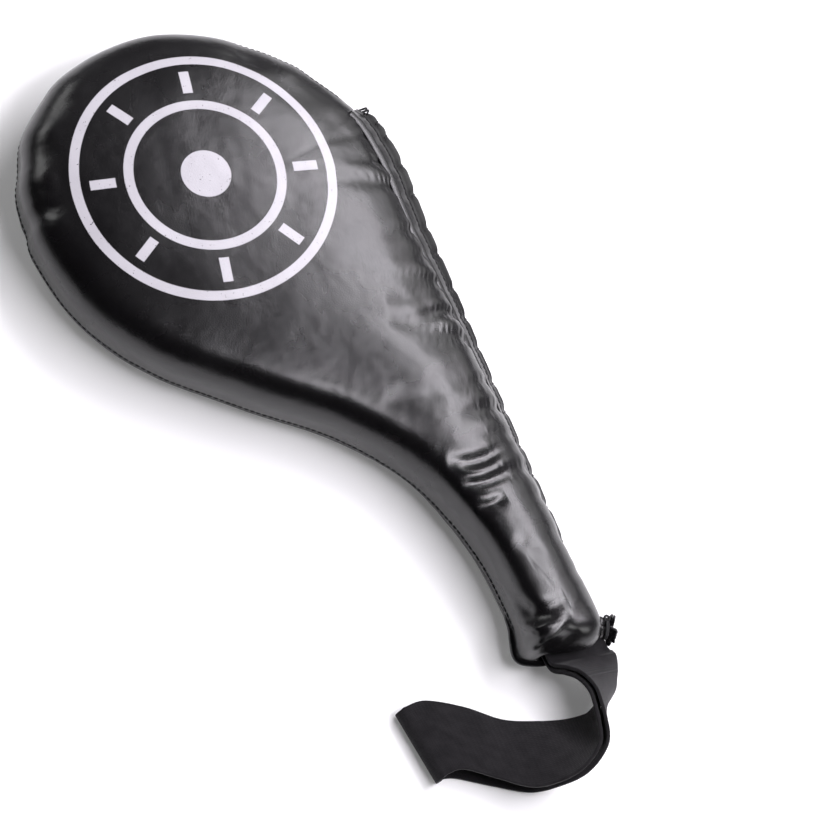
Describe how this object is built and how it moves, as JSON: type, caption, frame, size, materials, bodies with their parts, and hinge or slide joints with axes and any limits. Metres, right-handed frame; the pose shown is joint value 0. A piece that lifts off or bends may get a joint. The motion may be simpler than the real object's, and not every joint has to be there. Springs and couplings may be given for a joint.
{
  "type": "padded strike paddle",
  "caption": "Teardrop padded strike paddle with a padded handle, a stitched leather cover and a folded webbing hand loop.",
  "frame": {"origin": "centre of the head, on the flat back face that the paddle lies on", "axes": "+Y from the handle to the top of the head, +Z out of the striking face"},
  "size_m": [0.2169, 0.4448, 0.046],
  "materials": {
    "cover_leather": "satin black synthetic leather with a fine grain",
    "lip_leather": "satin black synthetic leather, creased",
    "foam": "closed-cell foam, matte",
    "board": "matte plastic board",
    "thread": "black polyester thread",
    "webbing": "matte black woven webbing"
  },
  "bodies": {
    "pad": {"front_cover": "cover_leather", "back_cover": "cover_leather", "front_foam": "foam", "back_foam": "foam", "grip_foam_front": "foam", "grip_foam_back": "foam", "core_board": "board", "closing_lip": "lip_leather", "lip_thread": "thread", "hand_thread": "thread", "side_thread": "thread", "end_fold": "lip_leather", "gathered_tail": "lip_leather", "tail_binding": "thread", "strap_end_upper": "webbing", "strap_end_lower": "webbing", "anchor_thread_upper": "thread", "anchor_thread_lower": "thread"},
    "strap_near": {"strap_near_inner": "webbing", "strap_near_outer": "webbing"},
    "strap_far": {"strap_far_upper": "webbing", "strap_far_lower": "webbing", "strap_loop_end": "webbing"}
  },
  "joints": [
    {"name": "strap_lift", "type": "hinge", "parent": "pad", "child": "strap_near", "pos_m": [-0.0142, -0.3085, 0.0225], "axis": [-0.9682, 0.2501, 0], "range_deg": [0, 45]},
    {"name": "strap_turn", "type": "hinge", "parent": "strap_near", "child": "strap_far", "pos_m": [-0.0245, -0.335, 0.02], "axis": [0, 0, 1], "range_deg": [-25, 35]}
  ]
}
